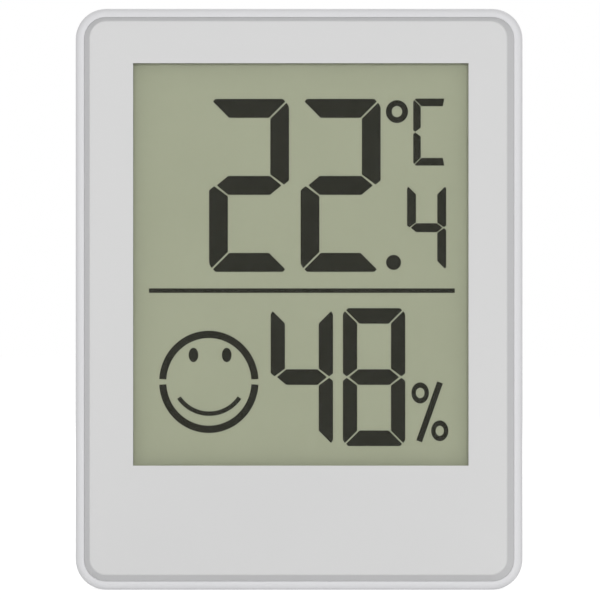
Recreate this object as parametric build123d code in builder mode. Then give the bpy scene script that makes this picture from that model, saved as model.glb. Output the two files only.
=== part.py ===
from build123d import *
import os

# Digital thermo-hygrometer for a shelf or a wall: a moulded two-piece case, a liquid-crystal
# display, a board with its sensors, a coin cell behind a twist door, a fold-out stand, a unit
# button, a keyhole and two magnets.
# Millimetres. +Z is up and the display faces -Y. The origin is the middle of the base.

# ---------------------------------------------------------------- driving dimensions

# Case
case_width = 50.0
case_height = 65.0
case_depth = 15.0
corner_radius = 3.4
rim_width = 0.94
rim_round = 0.8
back_round = 0.8
case_wall = 1.8
back_wall = 1.6
inner_wall = 1.2

# Front cover
seam = 0.02
slope_width = 0.62
side_slope_width = 0.75
slope_depth = 1.1
face_rise = 0.15
face_shift = 0.09
face_round = 0.12
cover_thickness = 1.4
foot_depth = 1.8
foot_wall = 1.2
lip_thickness = 0.6
window_width = 37.5
window_shift = 0.19
window_bottom = 13.9
window_top_margin = 6.1

# Liquid-crystal display, from front to back
glass_margin = 1.7
contact_ledge = 2.4
polariser_margin = 0.6
reflector_inset = 0.5
gasket_thickness = 0.3
polariser_thickness = 0.2
glass_thickness = 0.55
crystal_gap = 0.05
edge_seal_width = 0.8

# Display holder and its contact strip
holder_wall = 1.3
holder_web = 2.85
holder_ledge = 0.95
holder_top_trim = 0.3
strip_thickness = 1.8
strip_end_gap = 1.15

# Circuit board and what stands on it
board_thickness = 1.0
board_inset = 0.05
board_corner = 1.0
screw_row_inset = 4.0
component_height = 0.9
component_pitch = 3.0
capacitor_count = 4
capacitor_length = 2.0
capacitor_width = 1.25
capacitor_offset = 4.0
resistor_count = 3
resistor_length = 1.6
resistor_width = 0.8
resistor_offset = 8.0
glob_radius = 4.6
glob_height = 1.5
glob_rise = 8.0
crystal_radius = 1.0
crystal_length = 6.0
crystal_offset = 6.0
crystal_round = 0.25
sensor_width = 8.0
sensor_height = 5.0
sensor_thickness = 0.7
sensor_standoff = 2.0
sensor_corner = 0.3
sensor_lead_spread = 2.5
sensor_lead_inset = 0.5
lead_radius = 0.25
thermistor_radius = 1.2
thermistor_offset = 2.6
thermistor_lead_spread = 0.6
switch_size = 4.6
switch_height = 2.1
switch_corner = 0.4
switch_floor = 0.5
switch_room = 1.5
plunger_radius = 1.1
plunger_height = 0.5
dome_radius = 1.7
dome_height = 0.55
dome_thickness = 0.12

# Unit button
button_radius = 3.0
button_flange_radius = 3.8
button_flange = 0.8
button_stem_radius = 1.5
button_inset = 0.2
button_travel = 0.3
button_drop = 9.0
button_side = 5.4
button_round = 0.35
button_guide = 1.0

# Coin cell and its compartment
cell_radius = 10.0
cell_thickness = 2.5
can_wall = 0.3
seal_width = 0.5
cap_step = 0.2
can_round = 0.35
cap_round = 0.18
cell_play = 0.4
contact_height = 0.8
contact_thickness = 0.25
contact_width = 4.0
contact_foot = 1.2
leg_inset = 2.0
leg_slot = 1.0
strip_slot = 0.9
leaf_flat = 3.0
leaf_peak = 1.5
leaf_end = 6.0
leaf_tip_rise = 0.1
leaf_gap = 0.03
post_spread = 10.5
door_centre_z = 37.5

# Battery door
door_plate = 1.3
door_inset = 0.1
door_ring_wall = 0.95
door_cover_lap = 1.9
door_ledge = 0.85
door_round = 0.25
door_pad_radius = 3.0
lug_count = 3
lug_root = 0.2
lug_reach = 1.6
lug_thickness = 0.7
lug_angle = 28.0
notch_angle = 34.0
door_twist = 35.0
coin_slot_length = 13.0
coin_slot_width = 2.0
coin_slot_depth = 0.8

# Fold-out stand
stand_width = 24.0
stand_thickness = 2.0
stand_inset = 0.2
stand_side_gap = 0.35
stand_foot_z = 1.6
stand_pivot_z = 20.8
knuckle_radius = 1.6
trunnion_radius = 0.9
trunnion_length = 1.2
pivot_block = 1.5
stand_bottom_wall = 1.2
scoop_radius = 3.0
scoop_z = 6.2
stand_corner = 2.0
panel_side = 2.5
panel_foot = 5.0
panel_head = 3.5
panel_corner = 1.0
groove_count = 3
groove_margin = 6.0
groove_width = 0.5
groove_depth = 0.3
groove_start = 1.8
groove_pitch = 1.1

# Keyhole, magnets and air grille
keyhole_radius = 3.5
keyhole_slot = 3.4
keyhole_rise = 3.6
keyhole_drop = 9.5
keyhole_depth = 4.1
keyhole_room = 0.4
keyhole_head_room = 0.8
pocket_wall = 1.0
magnet_radius = 4.0
magnet_thickness = 2.0
magnet_inset = 0.1
magnet_wall = 1.1
magnet_chamfer = 0.15
grille_slots = 5
grille_pitch = 2.1
grille_slot = 1.1
grille_length = 8.0

# Fasteners
case_screw_radius = 1.0
case_screw_head_radius = 1.9
case_screw_head = 1.3
case_screw_bite = 3.7
case_screw_side = 5.4
case_screw_z = 4.9
case_screw_seat = 5.5
cover_post_radius = 2.2
post_depth = 4.9
board_screw_radius = 0.7
board_screw_head_radius = 1.3
board_screw_head = 0.9
board_screw_bite = 2.5
board_post_radius = 1.6
hook_width = 5.0
hook_thickness = 1.15
hook_reach = 3.7
hook_barb = 0.6
hook_barb_depth = 0.8
hook_x = 12.0

# Clearances
fit_gap = 0.15
slide_gap = 0.1
touch_gap = 0.05
swing_gap = 0.3
turn_gap = 0.2
thread_gap = 0.02

# ---------------------------------------------------------------- places worked out from them

front = -case_depth / 2
back = case_depth / 2
middle = (0, case_height / 2)

rim_front = front + slope_depth
cover_inside = front + cover_thickness
cover_foot = rim_front + foot_depth
wall_inside = back - back_wall
lip_back = front + lip_thickness

glass_front = lip_back + gasket_thickness
polariser_front = glass_front - polariser_thickness
crystal_front = glass_front + glass_thickness
crystal_back = crystal_front + crystal_gap
rear_glass_back = crystal_back + glass_thickness
reflector_back = rear_glass_back + polariser_thickness
board_front = reflector_back + holder_web
board_back = board_front + board_thickness

window_top = case_height - window_top_margin
glass_width = window_width + 2 * glass_margin
glass_top = window_top + glass_margin
rear_glass_bottom = window_bottom - glass_margin
front_glass_bottom = rear_glass_bottom - contact_ledge
holder_width = glass_width + 2 * (fit_gap + holder_wall)
holder_top = glass_top + fit_gap + holder_wall - holder_top_trim
holder_bottom = front_glass_bottom - fit_gap - holder_wall
strip_z = front_glass_bottom + fit_gap + strip_thickness / 2
strip_length = glass_width - 2 * strip_end_gap
web_x = window_width / 2 + glass_margin

board_half = holder_width / 2 - board_inset
board_bottom = holder_bottom + board_inset
board_top = holder_top - board_inset
screw_rows = (rear_glass_bottom + screw_row_inset, glass_top - screw_row_inset)
glob_z = board_bottom + glob_rise

cell_back = back - door_inset - door_plate - cell_play
cell_front = cell_back - cell_thickness
well_floor = cell_front - contact_height
well_radius = cell_radius + swing_gap
leg_z = door_centre_z - cell_radius + leg_inset
door_back = back - door_inset
door_front = door_back - door_plate
ledge_back = door_front - touch_gap
ledge_front = ledge_back - door_ledge
lug_back = ledge_front - slide_gap
lug_front = lug_back - lug_thickness
channel_front = lug_front - turn_gap
ring_inner = cell_radius + swing_gap + touch_gap
ring_outer = ring_inner + door_ring_wall
lug_radius = ring_outer + lug_reach
channel_radius = lug_radius + turn_gap
door_radius = ring_outer + door_cover_lap
door_hole = door_radius + turn_gap
door_centre = (0, door_centre_z)

button_x = board_half - button_side
button_z = case_height - button_drop
button_back = back - button_inset
flange_back = wall_inside - touch_gap
flange_front = flange_back - button_flange
switch_back = board_back + switch_height
plunger_back = switch_back + plunger_height

pivot_y = back - stand_inset - knuckle_radius
leg_back = back - stand_inset
leg_front = leg_back - stand_thickness
recess_half = stand_width / 2 + stand_side_gap
recess_floor = leg_front - swing_gap
recess_top = stand_pivot_z + knuckle_radius + swing_gap
knuckle_floor = pivot_y - knuckle_radius - swing_gap

keyhole_z = case_height - keyhole_drop
keyhole_floor = back - keyhole_depth
magnet_x = door_hole + magnet_radius + slide_gap + magnet_wall
screw_x = case_width / 2 - case_screw_side
screw_seat = back - case_screw_seat
post_end = cover_inside + post_depth


# ---------------------------------------------------------------- shared shapes


def facing(y):
    """Drawing plane at depth y as seen from the front: its x and y run along X and Z."""
    return Plane.XZ.offset(-y)


def both_sides(x, z):
    """The same place left and right of the middle."""
    return [(-x, z), (x, z)]


def slab(width, height, centres, y_front, y_back, radius=0.0, mode=Mode.ADD):
    """Block between two depths, its four corners rounded where a radius is given."""
    with BuildSketch(facing(y_back)) as outline:
        with Locations(centres):
            if radius > 0:
                RectangleRounded(width, height, radius)
            else:
                Rectangle(width, height)
    extrude(outline.sketch, amount=y_back - y_front, mode=mode)


def span(half_width, bottom, top, y_front, y_back, radius=0.0, mode=Mode.ADD):
    """Block between two depths and two heights, centred left to right."""
    centre = (0, (bottom + top) / 2)
    slab(2 * half_width, top - bottom, centre, y_front, y_back, radius, mode)


def disc(radius, centres, y_front, y_back, mode=Mode.ADD):
    """Round block between two depths."""
    with BuildSketch(facing(y_back)) as outline:
        with Locations(centres):
            Circle(radius)
    extrude(outline.sketch, amount=y_back - y_front, mode=mode)


def ring_sectors(inner, outer, angle, turned, y_front, y_back, mode=Mode.ADD):
    """Equal arcs of a ring round the battery door's centre, one for each bayonet lug."""
    centred = Plane(origin=(0, y_back, door_centre_z), x_dir=(1, 0, 0), z_dir=(0, -1, 0))
    for lug in range(lug_count):
        start = 90 + turned - angle / 2 + lug * 360 / lug_count
        with BuildSketch(centred) as outline:
            with BuildLine():
                near = CenterArc((0, 0), inner, start, angle)
                far = CenterArc((0, 0), outer, start, angle)
                Line(near @ 0, far @ 0)
                Line(near @ 1, far @ 1)
            make_face()
        extrude(outline.sketch, amount=y_back - y_front, mode=mode)


def dome(base_radius, height, x, base_y, z, mode=Mode.ADD):
    """Ball whose part behind depth base_y is a cap of the given base radius and height."""
    ball = (base_radius**2 + height**2) / (2 * height)
    with Locations((x, base_y + height - ball, z)):
        Sphere(ball, mode=mode)


def barrel(radius, centre_y, centre_z, x_from, x_to, mode=Mode.ADD):
    """Round bar along X."""
    with BuildSketch(Plane.YZ.offset(x_from)) as outline:
        with Locations((centre_y, centre_z)):
            Circle(radius)
    extrude(outline.sketch, amount=x_to - x_from, mode=mode)


def pan_screws(centres, seat, head_radius, head, shank_radius, length):
    """Cross-head screws put in from the back, their heads resting at depth seat."""
    disc(shank_radius, centres, seat - length, seat)
    disc(head_radius, centres, seat, seat + head)
    cross_depth = head * 0.55
    cross_long = head_radius * 1.1
    cross_thin = head_radius * 0.28
    deep = seat + head - cross_depth
    slab(cross_long, cross_thin, centres, deep, seat + head, mode=Mode.SUBTRACT)
    slab(cross_thin, cross_long, centres, deep, seat + head, mode=Mode.SUBTRACT)


# ---------------------------------------------------------------- case

with BuildPart() as rear_case:
    slab(case_width, case_height, middle, rim_front, back, corner_radius)
    fillet(rear_case.faces().sort_by(Axis.Y)[0].edges(), rim_round)
    fillet(rear_case.faces().sort_by(Axis.Y)[-1].edges(), back_round)
    # The mouth that takes the cover, then the narrower hollow behind its ledge.
    slab(case_width - 2 * rim_width, case_height - 2 * rim_width, middle, rim_front, cover_foot,
         corner_radius - rim_width, Mode.SUBTRACT)
    slab(case_width - 2 * case_wall, case_height - 2 * case_wall, middle, cover_foot, wall_inside,
         corner_radius - case_wall, Mode.SUBTRACT)
    # Pockets in the top wall that catch the cover's two hooks.
    hook_pocket_z = case_height - case_wall + (hook_barb + slide_gap) / 2
    slab(hook_width + 2 * swing_gap, hook_barb + slide_gap, both_sides(hook_x, hook_pocket_z),
         cover_inside + hook_reach - hook_barb_depth - slide_gap, cover_inside + hook_reach + turn_gap,
         mode=Mode.SUBTRACT)
    # Solid stock behind the back wall for the pockets that are cut next.
    disc(well_radius + inner_wall, door_centre, well_floor - inner_wall, channel_front - inner_wall)
    disc(channel_radius + inner_wall, door_centre, channel_front - inner_wall, wall_inside)
    span(recess_half + inner_wall, 0, recess_top + inner_wall,
         recess_floor - inner_wall, wall_inside)
    disc(scoop_radius + inner_wall, both_sides(recess_half, scoop_z),
         recess_floor - inner_wall, wall_inside)
    span(recess_half + trunnion_length + inner_wall, stand_pivot_z - knuckle_radius - pivot_block,
         recess_top + inner_wall, knuckle_floor - inner_wall, wall_inside)
    disc(magnet_radius + inner_wall, both_sides(magnet_x, door_centre_z),
         back - magnet_thickness - magnet_inset - slide_gap - inner_wall, wall_inside)
    pocket_half = keyhole_radius + keyhole_room
    pocket_bottom = keyhole_z - pocket_half
    pocket_top = keyhole_z + keyhole_rise + keyhole_slot / 2 + keyhole_head_room
    span(pocket_half + pocket_wall, pocket_bottom - pocket_wall, pocket_top + pocket_wall,
         keyhole_floor - pocket_wall, wall_inside)
    disc(button_flange_radius + inner_wall, (button_x, button_z),
         flange_front - button_travel - button_guide, wall_inside)
    # Bosses for the case screws and posts that hold the board against the holder.
    disc(case_screw_head_radius + inner_wall, both_sides(screw_x, case_screw_z),
         post_end, wall_inside)
    for post_z in (door_centre_z - post_spread, door_centre_z + post_spread):
        disc(board_post_radius, both_sides(board_half - board_post_radius + slide_gap, post_z),
             board_back, wall_inside)
    # Battery compartment: cell well, lug channel, ledge with three entry notches, door seat.
    disc(well_radius, door_centre, well_floor, channel_front, Mode.SUBTRACT)
    disc(channel_radius, door_centre, channel_front, ledge_front, Mode.SUBTRACT)
    disc(ring_outer + turn_gap, door_centre, ledge_front, ledge_back, Mode.SUBTRACT)
    ring_sectors(ring_outer, channel_radius, notch_angle, -door_twist,
                 ledge_front, ledge_back, Mode.SUBTRACT)
    disc(door_hole, door_centre, ledge_back, back, Mode.SUBTRACT)
    # Slots that let the two battery contacts reach the board.
    slab(contact_width + 2 * swing_gap, leg_slot, (0, leg_z),
         well_floor - inner_wall, well_floor, mode=Mode.SUBTRACT)
    slab(strip_slot, contact_width + 2 * swing_gap, (-well_radius, door_centre_z),
         well_floor - inner_wall, channel_front, mode=Mode.SUBTRACT)
    # Stand recess with a deeper trough for the knuckle, side scoops for a nail, and pivot holes.
    span(recess_half, stand_bottom_wall, recess_top, recess_floor, back, mode=Mode.SUBTRACT)
    span(recess_half, stand_pivot_z - knuckle_radius - swing_gap, recess_top,
         knuckle_floor, recess_floor, mode=Mode.SUBTRACT)
    disc(scoop_radius, both_sides(recess_half, scoop_z), recess_floor, back, Mode.SUBTRACT)
    pivot_reach = recess_half + trunnion_length + slide_gap
    barrel(trunnion_radius + slide_gap, pivot_y, stand_pivot_z, -pivot_reach, pivot_reach,
           Mode.SUBTRACT)
    # Magnet pockets.
    disc(magnet_radius + slide_gap, both_sides(magnet_x, door_centre_z),
         back - magnet_thickness - magnet_inset, back, Mode.SUBTRACT)
    # Keyhole: round entry, narrow slot above it, and a closed pocket behind both.
    span(pocket_half, pocket_bottom, pocket_top, keyhole_floor, wall_inside, mode=Mode.SUBTRACT)
    disc(keyhole_radius, (0, keyhole_z), wall_inside, back, Mode.SUBTRACT)
    span(keyhole_slot / 2, keyhole_z, keyhole_z + keyhole_rise, wall_inside, back,
         mode=Mode.SUBTRACT)
    disc(keyhole_slot / 2, (0, keyhole_z + keyhole_rise), wall_inside, back, Mode.SUBTRACT)
    # Button hole and the guide behind it.
    disc(button_radius + fit_gap, (button_x, button_z), wall_inside, back, Mode.SUBTRACT)
    disc(button_flange_radius + fit_gap, (button_x, button_z),
         flange_front - button_travel - button_guide, wall_inside, Mode.SUBTRACT)
    # Counterbored screw holes.
    disc(case_screw_head_radius + swing_gap, both_sides(screw_x, case_screw_z), screw_seat, back,
         Mode.SUBTRACT)
    disc(case_screw_radius + slide_gap, both_sides(screw_x, case_screw_z), post_end, screw_seat,
         Mode.SUBTRACT)
    # Air grille over the humidity sensor.
    with BuildSketch(facing(back)):
        with Locations((-button_x, button_z)):
            with GridLocations(0, grille_pitch, 1, grille_slots):
                SlotOverall(grille_length, grille_slot)
    extrude(amount=back_wall, mode=Mode.SUBTRACT)

foot_width = case_width - 2 * (rim_width + seam)
foot_height = case_height - 2 * (rim_width + seam)
foot_radius = corner_radius - rim_width - seam

with BuildPart() as front_cover:
    # Straight-sided foot, then the sloping edge up to the face.
    slab(foot_width, foot_height, middle, rim_front, cover_foot, foot_radius)
    with BuildSketch(facing(rim_front)):
        with Locations(middle):
            RectangleRounded(foot_width, foot_height, foot_radius)
    with BuildSketch(facing(front)):
        with Locations((-face_shift, case_height / 2 + face_rise)):
            RectangleRounded(foot_width - 2 * side_slope_width, foot_height - 2 * slope_width,
                             foot_radius - slope_width)
    loft(ruled=True)
    fillet(front_cover.faces().sort_by(Axis.Y)[0].edges(), face_round)
    slab(foot_width - 2 * foot_wall, foot_height - 2 * foot_wall, middle, cover_inside, cover_foot,
         foot_radius - foot_wall, Mode.SUBTRACT)
    # Display window, a little right of the middle, and the rebate behind it that takes the glass.
    slab(window_width, window_top - window_bottom, (window_shift, (window_bottom + window_top) / 2),
         front, lip_back, mode=Mode.SUBTRACT)
    span(glass_width / 2 + fit_gap, front_glass_bottom - fit_gap, glass_top + fit_gap,
         lip_back, cover_inside, mode=Mode.SUBTRACT)
    # Two screw posts at the bottom.
    disc(cover_post_radius, both_sides(screw_x, case_screw_z), cover_inside, post_end)
    disc(case_screw_radius + touch_gap, both_sides(screw_x, case_screw_z),
         post_end - case_screw_bite - turn_gap, post_end, Mode.SUBTRACT)
    # Two hooks at the top.
    hook_top = case_height - case_wall - slide_gap
    slab(hook_width, hook_thickness, both_sides(hook_x, hook_top - hook_thickness / 2),
         cover_inside, cover_inside + hook_reach)
    slab(hook_width, hook_barb + slide_gap, both_sides(hook_x, hook_top + hook_barb / 2),
         cover_inside + hook_reach - hook_barb_depth, cover_inside + hook_reach)

# ---------------------------------------------------------------- liquid-crystal display

with BuildPart() as dust_gasket:
    span(glass_width / 2 - touch_gap, rear_glass_bottom + touch_gap, glass_top - touch_gap,
         lip_back, glass_front)
    span(window_width / 2 + polariser_margin + fit_gap,
         window_bottom - polariser_margin - fit_gap,
         window_top + polariser_margin + fit_gap,
         lip_back, glass_front, mode=Mode.SUBTRACT)

with BuildPart() as lcd_front_polariser:
    span(window_width / 2 + polariser_margin, window_bottom - polariser_margin,
         window_top + polariser_margin, polariser_front, glass_front)

with BuildPart() as lcd_front_glass:
    span(glass_width / 2, front_glass_bottom, glass_top, glass_front, crystal_front)

with BuildPart() as lcd_edge_seal:
    span(glass_width / 2, rear_glass_bottom, glass_top, crystal_front, crystal_back)
    span(glass_width / 2 - edge_seal_width, rear_glass_bottom + edge_seal_width,
         glass_top - edge_seal_width, crystal_front, crystal_back, mode=Mode.SUBTRACT)

with BuildPart() as lcd_rear_glass:
    span(glass_width / 2, rear_glass_bottom, glass_top, crystal_back, rear_glass_back)

with BuildPart() as lcd_reflector:
    span(glass_width / 2 - reflector_inset, rear_glass_bottom + reflector_inset,
         glass_top - reflector_inset, rear_glass_back, reflector_back)

with BuildPart() as lcd_holder:
    span(holder_width / 2, holder_bottom, holder_top, cover_inside, board_front, board_corner)
    # Pocket round the glass.
    span(glass_width / 2 + fit_gap, front_glass_bottom - fit_gap, glass_top + fit_gap,
         cover_inside, reflector_back, mode=Mode.SUBTRACT)
    # Opening behind the reflector, which rests on the ledge round it.
    ledge_inset = reflector_inset + holder_ledge
    span(glass_width / 2 - ledge_inset, rear_glass_bottom + ledge_inset, glass_top - ledge_inset,
         reflector_back, board_front, mode=Mode.SUBTRACT)
    # Slot for the contact strip.
    slab(strip_length + 2 * slide_gap, strip_thickness + 2 * slide_gap, (0, strip_z),
         reflector_back, board_front, mode=Mode.SUBTRACT)
    # Holes for the board screws.
    for row_z in screw_rows:
        disc(board_screw_radius + thread_gap, both_sides(web_x, row_z),
             board_front - board_screw_bite - slide_gap, board_front, Mode.SUBTRACT)

with BuildPart() as zebra_strip:
    slab(strip_length, strip_thickness, (0, strip_z), crystal_front, board_front)

# ---------------------------------------------------------------- board

with BuildPart() as circuit_board:
    span(board_half, board_bottom, board_top, board_front, board_back, board_corner)
    for row_z in screw_rows:
        disc(board_screw_radius + slide_gap, both_sides(web_x, row_z), board_front, board_back,
             Mode.SUBTRACT)

with BuildPart() as board_screws:
    for row_z in screw_rows:
        pan_screws(both_sides(web_x, row_z), board_back, board_screw_head_radius,
                   board_screw_head, board_screw_radius, board_thickness + board_screw_bite)

with BuildPart() as chip_blob:
    dome(glob_radius, glob_height, 0, board_back, glob_z)
    split(bisect_by=facing(board_back), keep=Keep.BOTTOM)

with BuildPart() as clock_crystal:
    with Locations((glob_radius + crystal_offset, board_back + crystal_radius, glob_z)):
        Cylinder(crystal_radius, crystal_length, rotation=(0, 90, 0))
    fillet(clock_crystal.edges().filter_by(GeomType.CIRCLE), crystal_round)

with BuildPart() as capacitors:
    for row in range(capacitor_count):
        rise = (row - (capacitor_count - 1) / 2) * component_pitch
        with Locations((-glob_radius - capacitor_offset, board_back + component_height / 2,
                        glob_z + rise)):
            Box(capacitor_length, component_height, capacitor_width)

with BuildPart() as resistors:
    for row in range(resistor_count):
        rise = (row - (resistor_count - 1) / 2) * component_pitch
        with Locations((-glob_radius - resistor_offset, board_back + component_height / 4,
                        glob_z + rise)):
            Box(resistor_length, component_height / 2, resistor_width)

sensor_x = -button_x
dome_front = board_back + switch_floor
sensor_front = board_back + sensor_standoff
thermistor_x = sensor_x + sensor_width / 2 + thermistor_offset
thermistor_y = sensor_front + sensor_thickness / 2

with BuildPart() as humidity_sensor:
    slab(sensor_width, sensor_height, (sensor_x, button_z), sensor_front,
         sensor_front + sensor_thickness, sensor_corner)

with BuildPart() as thermistor:
    with Locations((thermistor_x, thermistor_y, button_z)):
        Sphere(thermistor_radius)

with BuildPart() as sensor_leads:
    for lead_x in (sensor_x - sensor_lead_spread, sensor_x + sensor_lead_spread):
        disc(lead_radius, (lead_x, button_z - sensor_height / 2 + sensor_lead_inset),
             board_back, sensor_front)
    for lead_z in (button_z - thermistor_lead_spread, button_z + thermistor_lead_spread):
        disc(lead_radius, (thermistor_x, lead_z), board_back,
             thermistor_y - thermistor_radius)

with BuildPart() as tact_switch:
    slab(switch_size, switch_size, (button_x, button_z), board_back, switch_back, switch_corner)
    disc(plunger_radius + slide_gap, (button_x, button_z), board_back + switch_room, switch_back,
         Mode.SUBTRACT)
    disc(dome_radius + fit_gap, (button_x, button_z), dome_front, board_back + switch_room,
         Mode.SUBTRACT)

with BuildPart() as switch_dome:
    dome(dome_radius, dome_height, button_x, dome_front, button_z)
    dome(dome_radius - dome_thickness, dome_height - dome_thickness, button_x, dome_front,
         button_z, Mode.SUBTRACT)
    split(bisect_by=facing(dome_front), keep=Keep.BOTTOM)

plunger_front = dome_front + dome_height + button_travel + touch_gap
with BuildPart() as switch_plunger:
    disc(plunger_radius, (button_x, button_z), plunger_front, plunger_back)

with BuildPart() as unit_button:
    disc(button_radius, (button_x, button_z), flange_back, button_back)
    fillet(unit_button.faces().sort_by(Axis.Y)[-1].edges(), button_round)
    disc(button_flange_radius, (button_x, button_z), flange_front, flange_back)
    disc(button_stem_radius, (button_x, button_z), plunger_back, flange_front)

# ---------------------------------------------------------------- battery and its contacts

with BuildPart() as cell_can:
    disc(cell_radius, door_centre, cell_front + cap_step, cell_back)
    fillet(cell_can.faces().sort_by(Axis.Y)[-1].edges(), can_round)
    disc(cell_radius - can_wall, door_centre, cell_front + cap_step, cell_back - can_wall,
         Mode.SUBTRACT)

with BuildPart() as cell_seal:
    disc(cell_radius - can_wall, door_centre, cell_front + cap_step, cell_back - can_wall)
    disc(cell_radius - can_wall - seal_width, door_centre, cell_front + cap_step,
         cell_back - can_wall, Mode.SUBTRACT)

with BuildPart() as cell_cap:
    disc(cell_radius - can_wall - seal_width, door_centre, cell_front, cell_back - can_wall)
    fillet(cell_cap.faces().sort_by(Axis.Y)[0].edges(), cap_round)

# Leaf under the cell: a foot on the board, a leg through the slot, and a bowed tongue.
leaf_y = well_floor + contact_thickness / 2
foot_y = board_back + contact_thickness / 2
bow_y = cell_front - contact_thickness / 2 - leaf_gap
with BuildPart() as battery_negative_contact:
    with BuildSketch(Plane.YZ.offset(-contact_width / 2)):
        with BuildLine():
            Polyline((foot_y, leg_z - contact_foot), (foot_y, leg_z), (leaf_y, leg_z),
                     (leaf_y, leg_z + leaf_flat), (bow_y, door_centre_z + leaf_peak),
                     (leaf_y + leaf_tip_rise, door_centre_z + leaf_end))
        trace(line_width=contact_thickness)
    extrude(amount=contact_width)

# Upright strip that bears on the can's side, with its foot on the board.
strip_x = -cell_radius - touch_gap
with BuildPart() as battery_positive_contact:
    slab(contact_thickness, contact_width, (strip_x - contact_thickness / 2, door_centre_z),
         board_back, channel_front - slide_gap)
    slab(contact_foot, contact_width,
         (strip_x - contact_thickness - contact_foot / 2, door_centre_z),
         board_back, board_back + contact_thickness)

with BuildPart() as battery_door:
    disc(door_radius, door_centre, door_front, door_back)
    fillet(battery_door.faces().sort_by(Axis.Y)[-1].edges(), door_round)
    disc(ring_outer, door_centre, lug_front, door_front)
    disc(ring_inner, door_centre, lug_front, door_front, Mode.SUBTRACT)
    ring_sectors(ring_outer - lug_root, lug_radius, lug_angle, 0, lug_front, lug_back)
    # Pad that keeps the cell down on its leaf.
    disc(door_pad_radius, door_centre, cell_back + touch_gap, door_front)
    with BuildSketch(facing(door_back)):
        with Locations(door_centre):
            SlotOverall(coin_slot_length, coin_slot_width)
    extrude(amount=coin_slot_depth, mode=Mode.SUBTRACT)

# ---------------------------------------------------------------- stand, magnets and screws

with BuildPart() as stand:
    span(stand_width / 2, stand_foot_z, stand_pivot_z, leg_front, leg_back)
    fillet(stand.edges().filter_by(Axis.Y).group_by(Axis.Z)[0], stand_corner)
    # Thinner panel inside the leg's frame, on its hidden face.
    span(stand_width / 2 - panel_side, stand_foot_z + panel_foot, stand_pivot_z - panel_head,
         leg_front, leg_front + stand_thickness / 2, panel_corner, Mode.SUBTRACT)
    # Grip grooves above the foot.
    for groove in range(groove_count):
        groove_z = stand_foot_z + groove_start + groove_pitch * groove
        slab(stand_width - 2 * groove_margin, groove_width, (0, groove_z), leg_back - groove_depth,
             leg_back, mode=Mode.SUBTRACT)
    barrel(knuckle_radius, pivot_y, stand_pivot_z, -stand_width / 2, stand_width / 2)
    trunnion_end = recess_half + trunnion_length
    barrel(trunnion_radius, pivot_y, stand_pivot_z, -trunnion_end, trunnion_end)

with BuildPart() as magnets:
    disc(magnet_radius, both_sides(magnet_x, door_centre_z),
         back - magnet_thickness - magnet_inset, back - magnet_inset)
    chamfer(magnets.edges().filter_by(GeomType.CIRCLE), magnet_chamfer)

with BuildPart() as case_screws:
    pan_screws(both_sides(screw_x, case_screw_z), screw_seat, case_screw_head_radius,
               case_screw_head, case_screw_radius, screw_seat - post_end + case_screw_bite)

# ---------------------------------------------------------------- written out

pieces = {
    "rear_case": rear_case,
    "front_cover": front_cover,
    "dust_gasket": dust_gasket,
    "lcd_front_polariser": lcd_front_polariser,
    "lcd_front_glass": lcd_front_glass,
    "lcd_edge_seal": lcd_edge_seal,
    "lcd_rear_glass": lcd_rear_glass,
    "lcd_reflector": lcd_reflector,
    "lcd_holder": lcd_holder,
    "zebra_strip": zebra_strip,
    "circuit_board": circuit_board,
    "board_screws": board_screws,
    "chip_blob": chip_blob,
    "clock_crystal": clock_crystal,
    "capacitors": capacitors,
    "resistors": resistors,
    "humidity_sensor": humidity_sensor,
    "thermistor": thermistor,
    "sensor_leads": sensor_leads,
    "tact_switch": tact_switch,
    "switch_dome": switch_dome,
    "switch_plunger": switch_plunger,
    "unit_button": unit_button,
    "battery_positive_contact": battery_positive_contact,
    "battery_negative_contact": battery_negative_contact,
    "cell_can": cell_can,
    "cell_seal": cell_seal,
    "cell_cap": cell_cap,
    "battery_door": battery_door,
    "stand": stand,
    "magnets": magnets,
    "case_screws": case_screws,
}

os.makedirs("parts", exist_ok=True)
for name, piece in pieces.items():
    piece.part.label = name
    export_step(piece.part, f"parts/{name}.step")
    print(name, len(piece.part.solids()), round(piece.part.volume, 2))
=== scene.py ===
import math

import bmesh
import bpy
import numpy as np
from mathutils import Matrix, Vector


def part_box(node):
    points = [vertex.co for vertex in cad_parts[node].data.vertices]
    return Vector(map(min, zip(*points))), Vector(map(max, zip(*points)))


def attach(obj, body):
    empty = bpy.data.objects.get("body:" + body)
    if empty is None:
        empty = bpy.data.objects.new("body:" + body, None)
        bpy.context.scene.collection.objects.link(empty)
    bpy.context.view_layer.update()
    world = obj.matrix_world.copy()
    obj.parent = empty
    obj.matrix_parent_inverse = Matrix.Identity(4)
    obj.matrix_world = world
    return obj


# Looks of a small digital thermo-hygrometer: satin moulded case, liquid-crystal display, and what is
# behind them. Lengths are written in millimetres and MM turns them into metres. The display faces -Y.

MM = 0.001

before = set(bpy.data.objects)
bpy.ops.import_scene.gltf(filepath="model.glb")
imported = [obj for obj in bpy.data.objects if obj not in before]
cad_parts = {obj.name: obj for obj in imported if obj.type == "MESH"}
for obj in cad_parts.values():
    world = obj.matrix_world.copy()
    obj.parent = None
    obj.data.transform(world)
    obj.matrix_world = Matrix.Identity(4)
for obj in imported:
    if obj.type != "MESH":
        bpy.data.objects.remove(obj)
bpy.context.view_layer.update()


def box_mm(node):
    """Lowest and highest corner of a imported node, in millimetres."""
    low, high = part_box(node)
    return np.array(low) / MM, np.array(high) / MM


def middle_of(node):
    """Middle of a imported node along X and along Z, in millimetres."""
    low, high = box_mm(node)
    return (low[0] + high[0]) / 2, (low[2] + high[2]) / 2


# ---------------------------------------------------------------- camera, lamps, world and floor

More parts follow.
